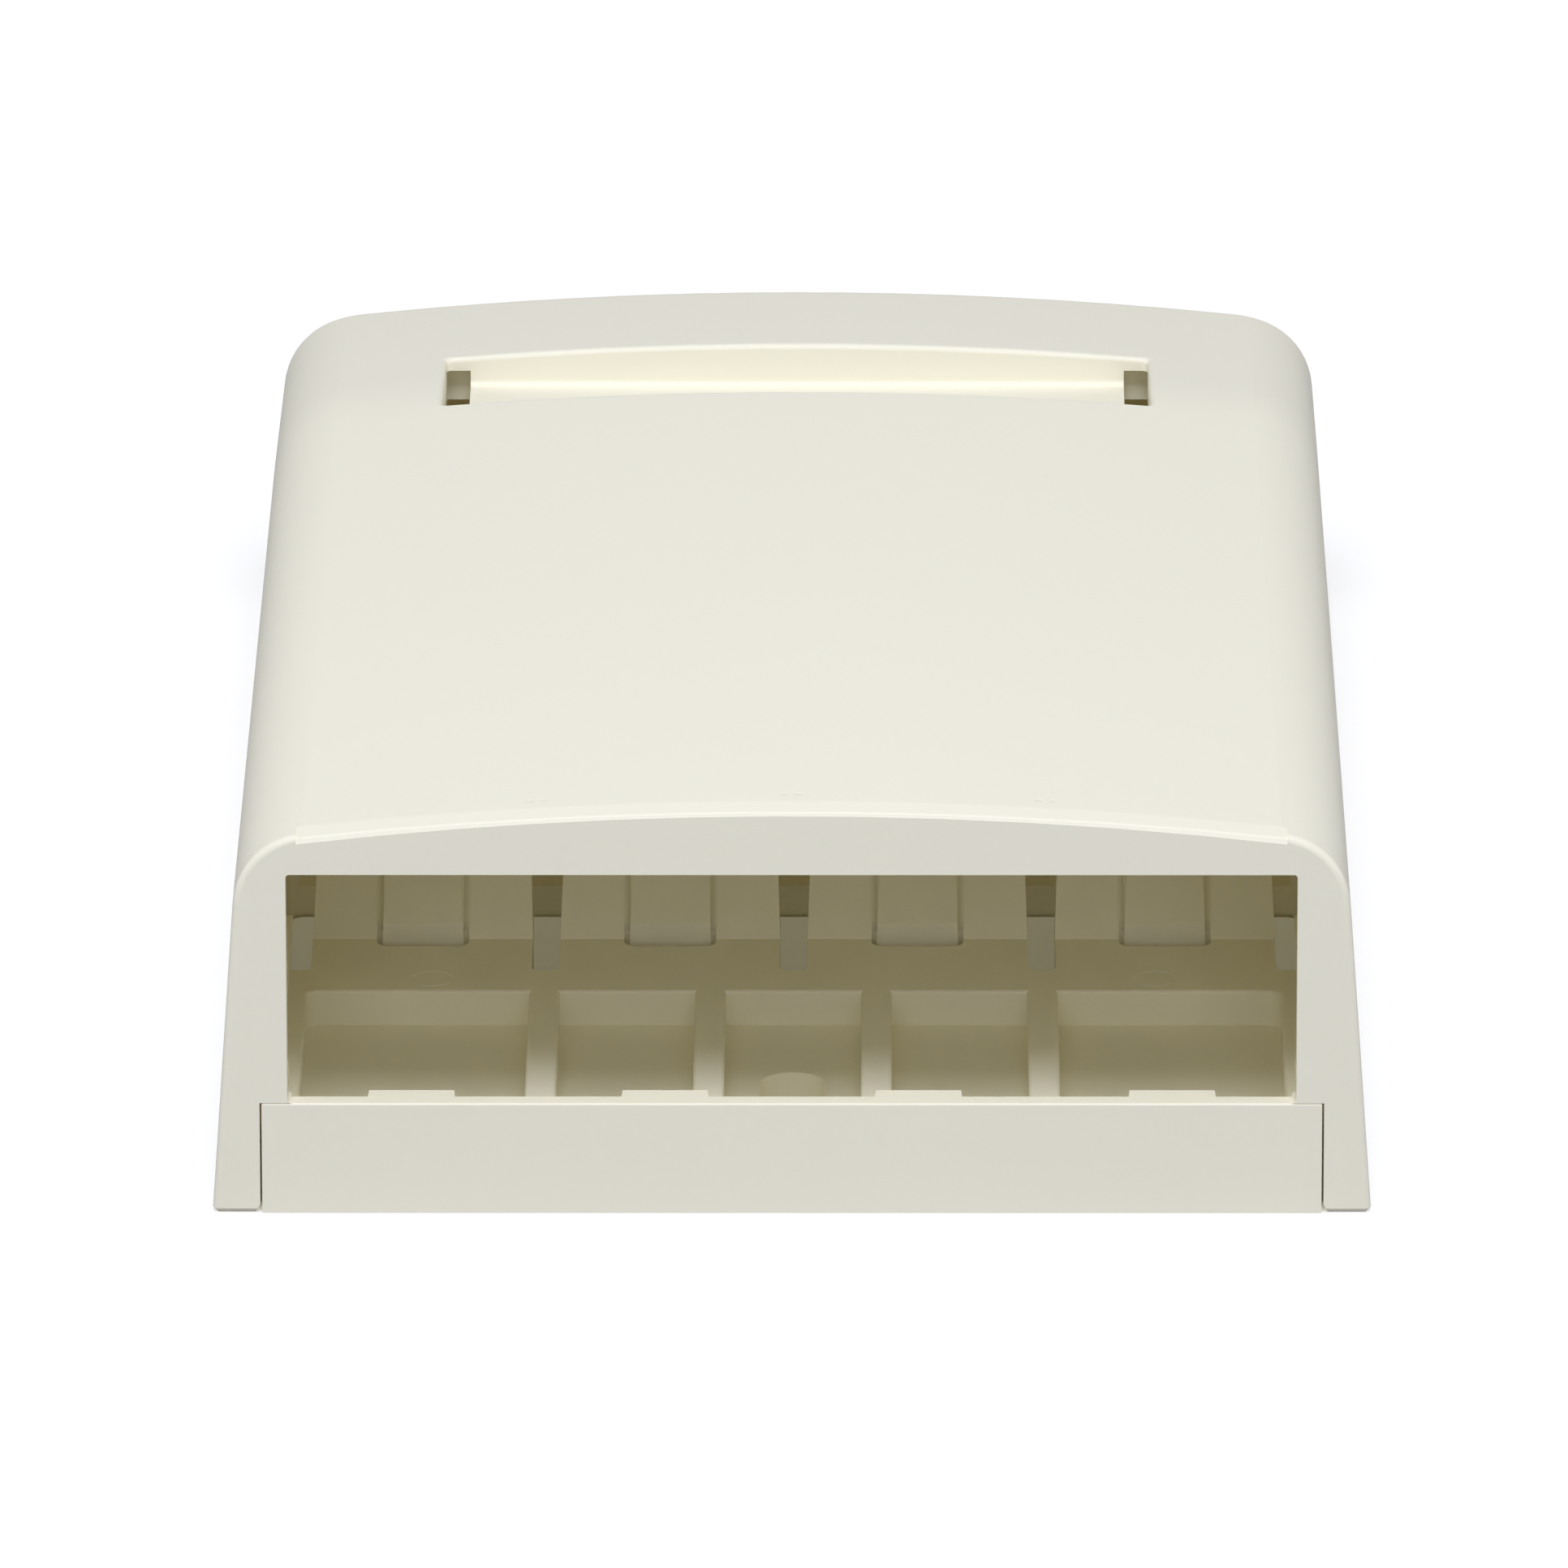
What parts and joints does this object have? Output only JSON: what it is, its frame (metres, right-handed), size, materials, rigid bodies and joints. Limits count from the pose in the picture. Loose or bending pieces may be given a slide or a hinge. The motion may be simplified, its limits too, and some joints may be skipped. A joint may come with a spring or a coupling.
{
  "type": "surface mount jack box",
  "caption": "Low surface mount box for a row of snap-in jacks: drafted, arched cover with a label recess over a moulded base with jack bed, spring arms and screw slots",
  "frame": {"origin": "middle of the footprint, on the surface that the box is fixed to", "axes": "+Z away from that surface, -Y out of the row of jacks, +X to the right seen from the front"},
  "size_m": [0.0744, 0.1254, 0.0272],
  "materials": {
    "cover_plastic": "fine satin, off-white",
    "base_plastic": "fine satin, off-white"
  },
  "bodies": {
    "base": {"base": "base_plastic"},
    "cover": {"cover": "cover_plastic"}
  },
  "joints": [
    {"name": "cover_lift", "type": "slide", "parent": "base", "child": "cover", "axis": [0, 0, 1], "range_m": [0, 0.03]}
  ]
}
